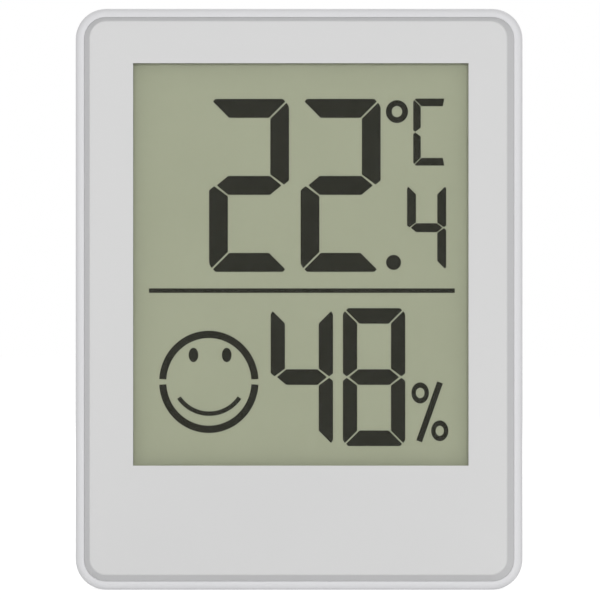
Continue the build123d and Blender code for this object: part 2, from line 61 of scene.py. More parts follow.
CAMERA_DISTANCE = 1500.0
CAMERA_AIM = (0.1, 32.42)
VIEW_WIDTH = 67.07
SENSOR_WIDTH = 36.0
NEAREST, FARTHEST = 10.0, 50000.0
AMBIENT = 0.42
LAMP_TARGET = (0.0, 0.0, 33.0)
FLOOR_HALF = 6000.0
FLOOR_DROP = 0.05
PAPER_GREY = 0.6
PAPER_BOUNCE = 0.2
SHADOW_GREY = 0.35
SHADOW_GLOW = 0.86


def linear(colour, alpha=1.0):
    """An sRGB hex colour as the linear numbers that a shader takes."""
    parts = np.array([int(colour[i:i + 2], 16) for i in (1, 3, 5)]) / 255
    parts = np.where(parts <= 0.04045, parts / 12.92, ((parts + 0.055) / 1.055) ** 2.4)
    return (*parts.tolist(), alpha)


def add(tree, kind, inputs=None, **settings):
    """Adds one node, sets its settings, and fills each input with a value or another node's output."""
    made = tree.nodes.new("ShaderNode" + kind)
    for name, value in settings.items():
        setattr(made, name, value)
    for socket, value in (inputs or {}).items():
        if isinstance(value, bpy.types.NodeSocket):
            tree.links.new(value, made.inputs[socket])
        else:
            made.inputs[socket].default_value = value
    return made


def empty_material(name):
    """A new material with an empty node tree; gives both."""
    material = bpy.data.materials.new(name)
    material.use_nodes = True
    material.node_tree.nodes.clear()
    return material, material.node_tree


def seen_directly(tree):
    """1 for rays from the camera, from a mirror or through glass, 0 for the rays that light things."""
    path = add(tree, "LightPath").outputs
    first = add(tree, "Math", {0: path["Is Camera Ray"], 1: path["Is Glossy Ray"]}, operation="MAXIMUM")
    both = add(tree, "Math", {0: first.outputs[0], 1: path["Is Transmission Ray"]}, operation="MAXIMUM")
    return both.outputs[0]


def put_camera():
    """A long lens, level with the middle of the case."""
    front = box_mm("front_cover")[0][1]
    data = bpy.data.cameras.new("camera")
    camera = bpy.data.objects.new("camera", data)
    bpy.context.collection.objects.link(camera)
    camera.location = (CAMERA_AIM[0] * MM, (front - CAMERA_DISTANCE) * MM, CAMERA_AIM[1] * MM)
    camera.rotation_euler = (math.pi / 2, 0, 0)
    data.sensor_width = SENSOR_WIDTH
    data.lens = SENSOR_WIDTH * CAMERA_DISTANCE / VIEW_WIDTH
    data.clip_start = NEAREST * MM
    data.clip_end = FARTHEST * MM
    bpy.context.scene.camera = camera


def put_lamp(name, place, size, share):
    """A square soft lamp aimed at the target, where it alone would show a white face as the given share
    of white."""
    data = bpy.data.lights.new(name, "AREA")
    lamp = bpy.data.objects.new(name, data)
    bpy.context.collection.objects.link(lamp)
    place = np.array(place) * MM
    aim = np.array(LAMP_TARGET) * MM - place
    distance = float(np.linalg.norm(aim))
    lamp.location = place.tolist()
    lamp.rotation_euler = (math.atan2(math.hypot(aim[0], aim[1]), -aim[2]), 0, math.atan2(-aim[0], aim[1]))
    data.size = size * MM
    data.energy = share * math.pi**2 * distance**2
    lamp.visible_glossy = False


def light_world():
    """White where it is looked at, and a plain grey where it lights things."""
    world = bpy.data.worlds.new("studio")
    bpy.context.scene.world = world
    world.use_nodes = True
    tree = world.node_tree
    tree.nodes.clear()
    white = add(tree, "Background", {"Color": (1, 1, 1, 1), "Strength": 1.0})
    grey = add(tree, "Background", {"Color": (1, 1, 1, 1), "Strength": AMBIENT})
    mix = add(tree, "MixShader", {0: seen_directly(tree), 1: grey.outputs[0], 2: white.outputs[0]})
    add(tree, "OutputWorld", {"Surface": mix.outputs[0]})


def lay_floor():
    """A pale matt floor. Where it is looked at it reads white and keeps a soft shadow, and where it
    lights things it is plain paper with a little light of its own."""
    mesh = bpy.data.meshes.new("floor")
    signs = [(-1, -1), (1, -1), (1, 1), (-1, 1)]
    corners = [(x * FLOOR_HALF * MM, y * FLOOR_HALF * MM, -FLOOR_DROP * MM) for x, y in signs]
    mesh.from_pydata(corners, [], [(0, 1, 2, 3)])
    floor = bpy.data.objects.new("floor", mesh)
    bpy.context.collection.objects.link(floor)
    material, tree = empty_material("matt studio paper")
    paper = add(tree, "BsdfDiffuse", {"Color": (PAPER_GREY, PAPER_GREY, PAPER_GREY, 1)})
    bounce = add(tree, "Emission", {"Color": (1, 1, 1, 1), "Strength": PAPER_BOUNCE})
    lit = add(tree, "AddShader", {0: paper.outputs[0], 1: bounce.outputs[0]})
    shadow = add(tree, "BsdfDiffuse", {"Color": (SHADOW_GREY, SHADOW_GREY, SHADOW_GREY, 1)})
    glow = add(tree, "Emission", {"Color": (1, 1, 1, 1), "Strength": SHADOW_GLOW})
    shown = add(tree, "AddShader", {0: shadow.outputs[0], 1: glow.outputs[0]})
    mix = add(tree, "MixShader", {0: seen_directly(tree), 1: lit.outputs[0], 2: shown.outputs[0]})
    add(tree, "OutputMaterial", {"Surface": mix.outputs[0]})
    mesh.materials.append(material)


bpy.context.scene.view_settings.view_transform = "Standard"
put_camera()
light_world()
lay_floor()
put_lamp("front lamp", (80.0, -3000.0, 160.0), 1200.0, 0.76)
put_lamp("back lamp", (300.0, 1400.0, 1100.0), 1100.0, 0.42)


# ---------------------------------------------------------------- materials

# The cover's sloping edge lies behind the round of the face and within twice its width of the outline.
SLOPE_WIDTH = 0.62
FACE_ROUND = 0.12
CORNER_BLEND = 2.0

# Sizes of patterns: the flow clouds of moulded plastic, the layers and half the core of the contact strip,
# and the weave of the board's glass cloth, with its turn in degrees.
FLOW_CLOUDS = 14.0
LAYER_PITCH = 0.25
CORE_HALF = 0.35
WEAVE_PITCH = 0.5
WEAVE_TURN = 0.01


def start_material(name, colour, roughness, **sockets):
    """A material of one Principled shader; gives it with its node tree, shader and object coordinates."""
    material, tree = empty_material(name)
    place = add(tree, "TexCoord").outputs["Object"]
    values = {"Base Color": linear(colour), "Roughness": roughness}
    values.update({key.replace("_", " "): value for key, value in sockets.items()})
    shader = add(tree, "BsdfPrincipled", values)
    add(tree, "OutputMaterial", {"Surface": shader.outputs[0]})
    return material, tree, shader, place


def tone(tree, shader, factor, low, high):
    """Colours the shader between two hex colours by a factor from 0 to 1."""
    mix = add(tree, "Mix", {0: factor, 6: linear(low), 7: linear(high)}, data_type="RGBA")
    tree.links.new(mix.outputs[2], shader.inputs["Base Color"])
    return mix


def rough_between(tree, shader, factor, low, high):
    """Sets the shader's roughness between two values by a factor from 0 to 1."""
    span = add(tree, "MapRange", {"Value": factor, "To Min": low, "To Max": high})
    tree.links.new(span.outputs[0], shader.inputs["Roughness"])


def bumped(tree, shader, height, depth):
    """Raises the surface by height times depth, in millimetres."""
    bump = add(tree, "Bump", {"Height": height, "Distance": depth * MM, "Strength": 1.0})
    tree.links.new(bump.outputs[0], shader.inputs["Normal"])


def noise(tree, place, size, detail=2.0, stretch=None):
    """Noise whose patches are about size millimetres, drawn out by the stretch along X, Y and Z."""
    if stretch is not None:
        place = add(tree, "Mapping", {"Vector": place, "Scale": stretch}).outputs[0]
    made = add(tree, "TexNoise", {"Vector": place, "Scale": 1 / (size * MM), "Detail": detail})
    return made.outputs["Fac"]


def moulded(name, dark, light, roughness, grain, depth):
    """Injection-moulded plastic. Wide faint flow clouds shift its tint, and a fine even grain from the
    spark-eroded tool varies its gloss and breaks up its highlight."""
    material, tree, shader, place = start_material(name, light, roughness)
    clouds = noise(tree, place, FLOW_CLOUDS, 3.0)
    tone(tree, shader, clouds, dark, light)
    fine = noise(tree, place, grain, 3.0)
    rough_between(tree, shader, fine, roughness - 0.06, roughness + 0.06)
    bumped(tree, shader, fine, depth)
    return material


def rolled_metal(name, dark, light, roughness, stretch=(1, 1, 1), grain=0.25, depth=0.0015):
    """Sheet or drawn metal. Fine lines or mottling left by rolling or drawing spread its reflection, and
    slow patches of tint show handling."""
    material, tree, shader, place = start_material(name, light, roughness, Metallic=1.0)
    patches = noise(tree, place, 4.0, 2.0)
    tone(tree, shader, patches, dark, light)
    lines = noise(tree, place, grain, 4.0, stretch)
    rough_between(tree, shader, lines, roughness - 0.08, roughness + 0.1)
    bumped(tree, shader, lines, depth)
    return material


def rear_case_plastic():
    """Light grey ABS, satin: a slightly coarser grain than the cover, so the back looks drier."""
    return moulded("ABS, spark-eroded satin, case", "#DEDEE0", "#E2E2E4", 0.46, 0.22, 0.004)


def cover_plastic():
    """Light grey ABS with a fine satin face, calm under a soft broad sheen. The sloping edge round the face
    is painted a tone darker, as painted shade."""
    material, tree, shader, place = start_material("ABS, satin, cover, edge in painted shade", "#D7D8D8", 0.42)
    low, high = box_mm("front_cover")
    middle = (low + high) / 2 * MM
    axes = add(tree, "SeparateXYZ", {0: place}).outputs
    half_face = (high - low) / 2 * MM - SLOPE_WIDTH * MM
    reach = []
    for axis in (0, 2):
        away = add(tree, "Math", {0: axes[axis], 1: middle[axis]}, operation="SUBTRACT").outputs[0]
        away = add(tree, "Math", {0: away}, operation="ABSOLUTE").outputs[0]
        reach.append(add(tree, "Math", {0: away, 1: half_face[axis]}, operation="SUBTRACT").outputs[0])
    blend = {0: reach[0], 1: reach[1], 2: CORNER_BLEND * MM}
    corner = add(tree, "Math", blend, operation="SMOOTH_MAX").outputs[0]
    beyond = add(tree, "Math", {0: corner, 1: -SLOPE_WIDTH * MM}, operation="GREATER_THAN").outputs[0]
    face_back = (low[1] + FACE_ROUND) * MM
    behind = add(tree, "Math", {0: axes[1], 1: face_back}, operation="GREATER_THAN").outputs[0]
    slope = add(tree, "Math", {0: beyond, 1: behind}, operation="MULTIPLY").outputs[0]
    clouds = noise(tree, place, FLOW_CLOUDS, 3.0)
    face = tone(tree, shader, clouds, "#D6D6D6", "#D9D9D9")
    # Painted shade: the sloping edge round the face takes the darker grey #CBCBCC for the shade that falls
    # there.
    both = add(tree, "Mix", {0: slope, 6: face.outputs[2], 7: linear("#CBCBCC")}, data_type="RGBA")
    tree.links.new(both.outputs[2], shader.inputs["Base Color"])
    fine = noise(tree, place, 0.16, 3.0)
    rough_between(tree, shader, fine, 0.36, 0.48)
    bumped(tree, shader, fine, 0.0025)
    return material


def polariser_film():
    """Stretched polariser film with a matt hard coat: clear, with a broad soft reflection that grows at a
    glancing view with the fifth power of one less the cosine. Each of its two faces carries half."""
    material, tree = empty_material("polariser film, matt hard coat")
    place = add(tree, "TexCoord").outputs["Object"]
    fine = noise(tree, place, 0.12, 2.0)
    bump = add(tree, "Bump", {"Height": fine, "Distance": 0.0006 * MM, "Strength": 1.0}).outputs[0]
    facing = add(tree, "LayerWeight", {"Blend": 0.5, "Normal": bump}).outputs["Facing"]
    glancing = add(tree, "Math", {0: facing, 1: 5.0}, operation="POWER").outputs[0]
    share = add(tree, "MapRange", {"Value": glancing, "To Min": 0.01, "To Max": 0.5}).outputs[0]
    clear = add(tree, "BsdfTransparent", {"Color": (0.995, 0.995, 0.985, 1)})
    gloss = add(tree, "BsdfGlossy", {"Color": (1, 1, 1, 1), "Roughness": 0.28, "Normal": bump})
    mix = add(tree, "MixShader", {0: share, 1: clear.outputs[0], 2: gloss.outputs[0]})
    add(tree, "OutputMaterial", {"Surface": mix.outputs[0]})
    return material


def display_glass():
    """Float glass 0.55 mm thick: nearly invisible face on, with a faint green in its cut edges."""
    material, tree = empty_material("float glass, cut and cleaned")
    place = add(tree, "TexCoord").outputs["Object"]
    wave = noise(tree, place, 3.0, 2.0)
    bump = add(tree, "Bump", {"Height": wave, "Distance": 0.0004 * MM, "Strength": 1.0}).outputs[0]
    body = add(tree, "BsdfPrincipled",
               {"Base Color": linear("#5C7A6C"), "Roughness": 0.08, "IOR": 1.52, "Normal": bump})
    clear = add(tree, "BsdfTransparent", {"Color": (0.99, 0.995, 0.99, 1)})
    facing = add(tree, "LayerWeight", {"Blend": 0.3}).outputs["Facing"]
    share = add(tree, "MapRange", {"Value": facing, "To Min": 0.003, "To Max": 0.05}).outputs[0]
    mix = add(tree, "MixShader", {0: share, 1: clear.outputs[0], 2: body.outputs[0]})
    add(tree, "OutputMaterial", {"Surface": mix.outputs[0]})
    return material


def rear_glass_with_reflector():
    """Rear glass seen through the crystal with its reflector film behind: one matt grey-green sheet with
    the very fine sparkle of the film's embossing."""
    material, tree, shader, place = start_material(
        "rear glass over embossed reflector", "#B2B59F", 0.5, Specular_IOR_Level=0.2)
    sparkle = noise(tree, place, 0.22, 3.0)
    slow = noise(tree, place, 9.0, 2.0)
    both = add(tree, "Math", {0: sparkle, 1: slow, 2: 0.18}, operation="MULTIPLY_ADD")
    tone(tree, shader, both.outputs[0], "#A6A993", "#B2B59F")
    bumped(tree, shader, sparkle, 0.001)
    return material


def reflector_film():
    """Aluminised film with an embossed back: dull silver with a pearly mottle."""
    material, tree, shader, place = start_material(
        "aluminised reflector film", "#C9CBC8", 0.42, Metallic=0.8)
    emboss = add(tree, "TexVoronoi", {"Vector": place, "Scale": 1 / (0.3 * MM)}).outputs["Distance"]
    tone(tree, shader, emboss, "#D3D5D2", "#B9BBB8")
    bumped(tree, shader, emboss, 0.01)
    return material


def liquid_crystal():
    """Switched liquid crystal between crossed films: a nearly black olive that lets almost nothing back."""
    material, tree, shader, place = start_material(
        "liquid crystal, switched on", "#232219", 0.5, Specular_IOR_Level=0.1)
    slow = noise(tree, place, 1.5, 2.0)
    tone(tree, shader, slow, "#21211A", "#26251C")
    return material


def seal_epoxy():
    """Screen-printed epoxy between the glasses: milky grey with tiny spacer beads."""
    material, tree, shader, place = start_material("printed edge-seal epoxy", "#8E9288", 0.35)
    beads = add(tree, "TexVoronoi", {"Vector": place, "Scale": 1 / (0.25 * MM)}).outputs["Distance"]
    tone(tree, shader, beads, "#A6AA9F", "#83877D")
    bumped(tree, shader, beads, 0.004)
    return material


def gasket_foam():
    """White closed-cell foam: matt, with pores about 0.3 mm across."""
    material, tree, shader, place = start_material("closed-cell foam, die cut", "#D6D7D4", 0.95)
    pores = add(tree, "TexVoronoi", {"Vector": place, "Scale": 1 / (0.3 * MM)}).outputs["Distance"]
    tone(tree, shader, pores, "#BFC0BC", "#DDDEDB")
    bumped(tree, shader, pores, 0.05)
    return material


def zebra_rubber():
    """Silicone strip of conducting and clear layers. Real layers are 0.05 mm; they are drawn at 0.25 mm
    so that the stripes can be seen."""
    material, tree, shader, place = start_material("layered silicone contact strip", "#3A3C40", 0.55)
    axes = add(tree, "SeparateXYZ", {0: place}).outputs
    turns = add(tree, "Math", {0: axes[0], 1: 2 * math.pi / (LAYER_PITCH * MM)}, operation="MULTIPLY")
    wave = add(tree, "Math", {0: turns.outputs[0]}, operation="SINE")
    band = add(tree, "MapRange", {"Value": wave.outputs[0], "From Min": -0.2, "From Max": 0.2})
    middle = middle_of("zebra_strip")[1] * MM
    away = add(tree, "Math", {0: axes[2], 1: middle}, operation="SUBTRACT")
    away = add(tree, "Math", {0: away.outputs[0]}, operation="ABSOLUTE")
    core = add(tree, "Math", {0: away.outputs[0], 1: CORE_HALF * MM}, operation="LESS_THAN")
    stripe = add(tree, "Math", {0: band.outputs[0], 1: core.outputs[0]}, operation="MULTIPLY")
    tone(tree, shader, stripe.outputs[0], "#C7CBCE", "#17181A")
    return material


def board_laminate():
    """Glass-epoxy board under green solder mask: gloss over a faint weave, with paler copper fill below
    the mask in broad areas."""
    material, tree, shader, place = start_material("glass-epoxy board, green solder mask", "#1F6B3C", 0.32)
    turned = add(tree, "Mapping", {"Vector": place, "Rotation": (0, math.radians(WEAVE_TURN), 0)}).outputs[0]
    axes = add(tree, "SeparateXYZ", {0: turned}).outputs
    weave_rate = 2 * math.pi / (WEAVE_PITCH * MM)
    threads = []
    for axis in (0, 2):
        turns = add(tree, "Math", {0: axes[axis], 1: weave_rate}, operation="MULTIPLY")
        threads.append(add(tree, "Math", {0: turns.outputs[0]}, operation="SINE").outputs[0])
    weave = add(tree, "Math", {0: threads[0], 1: threads[1]}, operation="MULTIPLY")
    fill = noise(tree, place, 7.0, 0.0)
    fill = add(tree, "MapRange", {"Value": fill, "From Min": 0.5, "From Max": 0.52}).outputs[0]
    tone(tree, shader, fill, "#185A31", "#23743F")
    bumped(tree, shader, weave.outputs[0], 0.002)
    return material


def ended_by_x(name, body_dark, body_light, centre, half_body, roughness):
    """Surface-mounted ceramic part: a fired body, and tinned caps beyond half_body from its centre."""
    material, tree, shader, place = start_material(name, body_light, roughness)
    along = add(tree, "SeparateXYZ", {0: place}).outputs[0]
    away = add(tree, "Math", {0: along, 1: centre * MM}, operation="SUBTRACT")
    away = add(tree, "Math", {0: away.outputs[0]}, operation="ABSOLUTE")
    cap = add(tree, "Math", {0: away.outputs[0], 1: half_body * MM}, operation="GREATER_THAN").outputs[0]
    speck = noise(tree, place, 0.15, 2.0)
    mix = tone(tree, shader, speck, body_dark, body_light)
    tin = add(tree, "Mix", {0: cap, 6: mix.outputs[2], 7: linear("#C9CACC")}, data_type="RGBA")
    tree.links.new(tin.outputs[2], shader.inputs["Base Color"])
    tree.links.new(cap, shader.inputs["Metallic"])
    bumped(tree, shader, speck, 0.004)
    return material


def potting_epoxy(name, dark, light, roughness):
    """Cast epoxy: dark and glossy, with the soft unevenness of a drop that set in air."""
    material, tree, shader, place = start_material(name, light, roughness)
    slow = noise(tree, place, 1.6, 3.0)
    tone(tree, shader, slow, dark, light)
    bumped(tree, shader, slow, 0.06)
    rough_between(tree, shader, noise(tree, place, 0.4, 2.0), roughness - 0.08, roughness + 0.08)
    return material


def sensor_ceramic():
    """Fired alumina plate: chalky white with a fine tooth."""
    material, tree, shader, place = start_material("alumina plate, fired", "#ECEBE4", 0.75)
    tooth = noise(tree, place, 0.12, 3.0)
    tone(tree, shader, tooth, "#DEDDD4", "#F0EFE9")
    bumped(tree, shader, tooth, 0.006)
    return material


def cell_gasket():
    """Moulded polypropylene ring of the cell: milky and slightly waxy."""
    return moulded("polypropylene ring, moulded", "#B9BBB6", "#C6C8C3", 0.45, 0.3, 0.004)


def printed_ink():
    """Pad-printed grey ink: flat and dull, thin enough for the grain below to break its edge."""
    return moulded("pad-printed ink, grey", "#6A6C6E", "#737577", 0.62, 0.15, 0.002)


def gold_plating():
    """Thin gold over nickel: warm yellow, bright, with faint rolling lines."""
    return rolled_metal("gold over nickel, plated", "#C79A48", "#DDB463", 0.28, (1, 1, 0.1))


def solder():
    """Reflowed tin solder: bright grey, slightly frosted where it froze."""
    return rolled_metal("tin solder, reflowed", "#9FA2A5", "#C3C6C8", 0.3, (1, 1, 1), 0.2, 0.003)


def track_under_mask():
    """Copper track below green solder mask: the same gloss as the board, a paler yellow green."""
    return moulded("copper track under solder mask", "#2E8148", "#38924F", 0.32, 0.4, 0.002)


def white_legend_ink():
    """Screen-printed white epoxy legend: chalky, a little uneven at its edges."""
    return moulded("screen-printed legend ink, white", "#DADAD2", "#E8E8E1", 0.6, 0.12, 0.003)


FINISHES = {
    "rear_case": rear_case_plastic(),
    "front_cover": cover_plastic(),
    "dust_gasket": gasket_foam(),
    "lcd_front_polariser": polariser_film(),
    "lcd_front_glass": display_glass(),
    "lcd_edge_seal": seal_epoxy(),
    "lcd_rear_glass": rear_glass_with_reflector(),
    "lcd_reflector": reflector_film(),
    "lcd_holder": moulded("ABS, moulded white, holder", "#DADBD8", "#E2E3E0", 0.5, 0.2, 0.005),
    "zebra_strip": zebra_rubber(),
    "circuit_board": board_laminate(),
    "board_screws": rolled_metal("steel, zinc plated, board screws", "#9DA0A3", "#BABDC0", 0.32),
    "chip_blob": potting_epoxy("epoxy drop, black", "#0C0C0D", "#161617", 0.24),
    "clock_crystal": rolled_metal("nickel silver can, drawn", "#A9A59B", "#C6C2B8", 0.26, (0.1, 1, 1)),
    "humidity_sensor": sensor_ceramic(),
    "thermistor": potting_epoxy("epoxy bead, blue black", "#10141F", "#1A2030", 0.2),
    "sensor_leads": rolled_metal("copper wire, tinned", "#A7A9AA", "#C7C9CA", 0.3, (1, 0.1, 1)),
    "tact_switch": moulded("nylon, moulded black, switch body", "#151617", "#1E1F21", 0.5, 0.2, 0.005),
    "switch_dome": rolled_metal("stainless steel, pressed, dome", "#A6A6A4", "#C4C4C2", 0.24),
    "switch_plunger": moulded("nylon, moulded brown, plunger", "#3A2A20", "#48352A", 0.5, 0.2, 0.005),
    "unit_button": moulded("ABS, satin, button", "#CDCDCC", "#D2D2D1", 0.4, 0.16, 0.003),
    "battery_positive_contact": rolled_metal(
        "spring steel, nickel plated, strip", "#B4B1A8", "#D0CDC5", 0.24, (1, 1, 0.08)),
    "battery_negative_contact": rolled_metal(
        "spring steel, nickel plated, leaf", "#B4B1A8", "#D0CDC5", 0.24, (1, 1, 0.08)),
    "cell_can": rolled_metal("stainless steel, drawn, cell can", "#B3B3B1", "#CBCBC9", 0.28, (0.05, 1, 1)),
    "cell_seal": cell_gasket(),
    "cell_cap": rolled_metal("stainless steel, pressed, cell cap", "#AFAFAD", "#C6C6C4", 0.3, (0.05, 1, 1)),
    "battery_door": moulded("ABS, satin, door", "#DADADA", "#DFDFDE", 0.44, 0.2, 0.004),
    "stand": moulded("ABS, satin, stand", "#DADADA", "#DFDFDE", 0.44, 0.2, 0.004),
    "magnets": rolled_metal("neodymium, nickel plated", "#B5B4B0", "#D2D1CD", 0.18, (1, 1, 1), 0.5, 0.001),
    "case_screws": rolled_metal("steel, zinc plated, case screws", "#9DA0A3", "#BABDC0", 0.3),
    "capacitors": ended_by_x(
        "fired ceramic, tan, tinned ends", "#A58A63", "#BBA07A", middle_of("capacitors")[0], 0.6, 0.5),
    "resistors": ended_by_x(
        "fired ceramic, black glaze, tinned ends", "#151516", "#202022",
        middle_of("resistors")[0], 0.5, 0.3),
}

for node_name, finish in FINISHES.items():
    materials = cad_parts[node_name].data.materials
    if len(materials) == 0:
        materials.append(finish)
    for index in range(len(materials)):
        materials[index] = finish


# ---------------------------------------------------------------- shapes of the new pieces

# The first two are in metres, as the meshes are, and the last two are angles in radians.
SAME_POINT = 1e-7
NO_LENGTH = 1e-8
SPOT_TIP = 0.06
MOUND_TOP = 0.48 * np.pi


def layer_on(node, rise, sunk):
    """Outer and inner depth of a thin layer on a node's back."""
    back = box_mm(node)[1][1]
    return back + rise, back - sunk


def strip(near, far, outer, inner, closed=False):
    """A flat band. At each step a rectangle runs from the near edge to the far edge, given as rows of
    (x, z), and from depth outer to depth inner. Its corners make a grid of steps by 4, each step joined to
    the next; an open band has both its end rectangles filled."""
    steps = len(near)
    grid = np.empty((steps, 4, 3))
    grid[:, 0, [0, 2]] = near
    grid[:, 1, [0, 2]] = far
    grid[:, 2, [0, 2]] = far
    grid[:, 3, [0, 2]] = near
    grid[:, :2, 1] = outer
    grid[:, 2:, 1] = inner
    step = np.arange(steps if closed else steps - 1)[:, None]
    side = np.arange(4)[None, :]
    ahead = (step + 1) % steps
    across = (side + 1) % 4
    quads = np.stack([step * 4 + side, ahead * 4 + side, ahead * 4 + across, step * 4 + across], -1)
    quads = quads.reshape(-1, 4)
    if not closed:
        last = 4 * steps - 1
        ends = np.array([[0, 1, 2, 3], [last, last - 1, last - 2, last - 3]])
        quads = np.concatenate([quads, ends])
    return grid.reshape(-1, 3), quads


def swept(grid):
    """Closed skin over a grid of points, rows joined in order, each row a ring; the first and last rows
    are drawn together to their middles."""
    rows, columns = grid.shape[:2]
    first = np.repeat(grid[0].mean(0)[None], columns, 0)
    last = np.repeat(grid[-1].mean(0)[None], columns, 0)
    whole = np.concatenate([first[None], grid, last[None]])
    row = np.arange(rows + 1)[:, None]
    column = np.arange(columns)[None, :]
    beside = (column + 1) % columns
    quads = np.stack([row * columns + column, row * columns + beside,
                      (row + 1) * columns + beside, (row + 1) * columns + column], -1)
    return whole.reshape(-1, 3), quads.reshape(-1, 4)


def wire(path, radius, sides=12):
    """Round wire along a path that stays in a plane of constant z: at each point a circle spanned by Z
    and by the normal of the path in that plane."""
    path = np.asarray(path, float)
    run = np.gradient(path, axis=0)
    run /= np.linalg.norm(run, axis=1)[:, None]
    up = np.array([0.0, 0.0, 1.0])
    out = np.cross(run, up)
    turn = np.linspace(0, 2 * np.pi, sides, endpoint=False)[None, :, None]
    grid = path[:, None] + radius * (np.cos(turn) * out[:, None] + np.sin(turn) * up)
    return swept(grid)


def mound(x, z, base, half_x, half_z, height, sides=16, rings=6):
    """Low round mound on a plane of constant depth: at each ring the footprint shrinks as the cosine of an
    angle and the height rises as its sine."""
    rise = np.linspace(0, MOUND_TOP, rings)[:, None]
    turn = np.linspace(0, 2 * np.pi, sides, endpoint=False)[None, :]
    grid = np.stack([x + half_x * np.cos(rise) * np.cos(turn),
                     base + height * np.sin(rise) + 0 * turn,
                     z + half_z * np.cos(rise) * np.sin(turn)], -1)
    return swept(grid)


def ring(x, z, outer, inner, depths, begin=0.0, end=360.0, steps=64):
    """Elliptic band: both edges are ellipses about one centre, each given by its half width and height."""
    closed = end - begin >= 360
    turn = np.radians(np.linspace(begin, end, steps, endpoint=not closed))
    heading = np.stack([np.cos(turn), np.sin(turn)], -1)
    centre = np.array([x, z])
    return strip(centre + heading * outer, centre + heading * inner, *depths, closed)


def spot(x, z, half_x, half_z, depths, steps=33):
    """Filled ellipse: its lower and its upper edge run from the left tip to the right, and stop a small
    angle short of both."""
    turn = np.linspace(np.pi - SPOT_TIP, SPOT_TIP, steps)
    across = x + half_x * np.cos(turn)
    rise = half_z * np.sin(turn)
    return strip(np.stack([across, z - rise], -1), np.stack([across, z + rise], -1), *depths)


def line(points, width, depths):
    """Band of even width along a bent line, cut square at both ends. At each point its edges lie half a
    width away along the normal, and further at a bend, by one over the cosine of half the bend."""
    points = np.array(points, float)
    run = np.diff(points, axis=0)
    run /= np.linalg.norm(run, axis=1)[:, None]
    before = np.concatenate([run[:1], run])
    after = np.concatenate([run, run[-1:]])
    mean = before + after
    mean /= np.linalg.norm(mean, axis=1)[:, None]
    side = np.stack([-mean[:, 1], mean[:, 0]], -1) / (mean * after).sum(1)[:, None]
    return strip(points - side * width / 2, points + side * width / 2, *depths)


def finish_piece(name, mesh, material, body):
    """Merges equal points, drops edges without length, turns all faces outwards, and lets the piece ride
    on its body."""
    work = bmesh.new()
    work.from_mesh(mesh)
    bmesh.ops.remove_doubles(work, verts=work.verts, dist=SAME_POINT)
    bmesh.ops.dissolve_degenerate(work, edges=work.edges, dist=NO_LENGTH)
    bmesh.ops.recalc_face_normals(work, faces=work.faces)
    work.to_mesh(mesh)
    work.free()
    mesh.materials.clear()
    mesh.materials.append(material)
    made = bpy.data.objects.new(name, mesh)
    bpy.context.collection.objects.link(made)
    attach(made, body)


def piece(name, parts, material, body):
    """Joins the parts' points and faces into one mesh and finishes it."""
    mesh = bpy.data.meshes.new(name)
    offsets = np.cumsum([0] + [len(points) for points, _ in parts])
    points = np.concatenate([points for points, _ in parts]) * MM
    faces = np.concatenate([quads + offset for (_, quads), offset in zip(parts, offsets)])
    mesh.from_pydata(points.tolist(), [], faces.tolist())
    finish_piece(name, mesh, material, body)


# ---------------------------------------------------------------- figures on the display

# The figures lie in the crystal between the two glasses. Heights are above the rear glass's lower edge.
seal_low, seal_high = box_mm("lcd_edge_seal")
IN_CRYSTAL = (seal_low[1] + 0.008, seal_high[1] - 0.003)
BASE = box_mm("lcd_rear_glass")[0][2]

# A tip is given as its offset from the bar's line and the slopes of its near and its far edge. Insets are
# shares of a bar's width. A free end has its offset as a share of half the bar's width.
TIP_WIDTH = 0.07
CORNER_INSET = 0.14
MIDDLE_INSET = 0.27
POINT_SETBACK = 1.45
FREE_OFFSET = 0.86
FREE_SLOPES = (4.5, 9.0)
FLAT_SLOPES = (1.0, 1.0)
CORNER_SLOPES = (0.55, 1.0)
WAIST_SLOPES = (1.2, 1.35)
POINT_SLOPES = (0.83, 0.83)


def bar(begin, end, middle, half, tip_begin, tip_end, upright):
    """Edges of one bar of a figure. The bar runs from begin to end along its middle line. At each end it
    starts at a blunt tip, set off from the line, and widens at one slope to its near edge and at another
    to its far edge, until it is half wide on each side: the edges are the least of three straight lines."""
    (at_0, near_0, far_0), (at_1, near_1, far_1) = tip_begin, tip_end
    blunt = TIP_WIDTH / 2
    steps = np.sort([begin, begin + (half - at_0 - blunt) / far_0, begin + (half + at_0 - blunt) / near_0,
                     end - (half - at_1 - blunt) / far_1, end - (half + at_1 - blunt) / near_1, end])
    past, ahead = steps - begin, end - steps
    far = np.minimum(half, np.minimum(at_0 + blunt + far_0 * past, at_1 + blunt + far_1 * ahead))
    near = np.minimum(half, np.minimum(blunt - at_0 + near_0 * past, blunt - at_1 + near_1 * ahead))
    if upright:
        return np.stack([middle + near, steps], -1), np.stack([middle - far, steps], -1)
    return np.stack([steps, middle - near], -1), np.stack([steps, middle + far], -1)


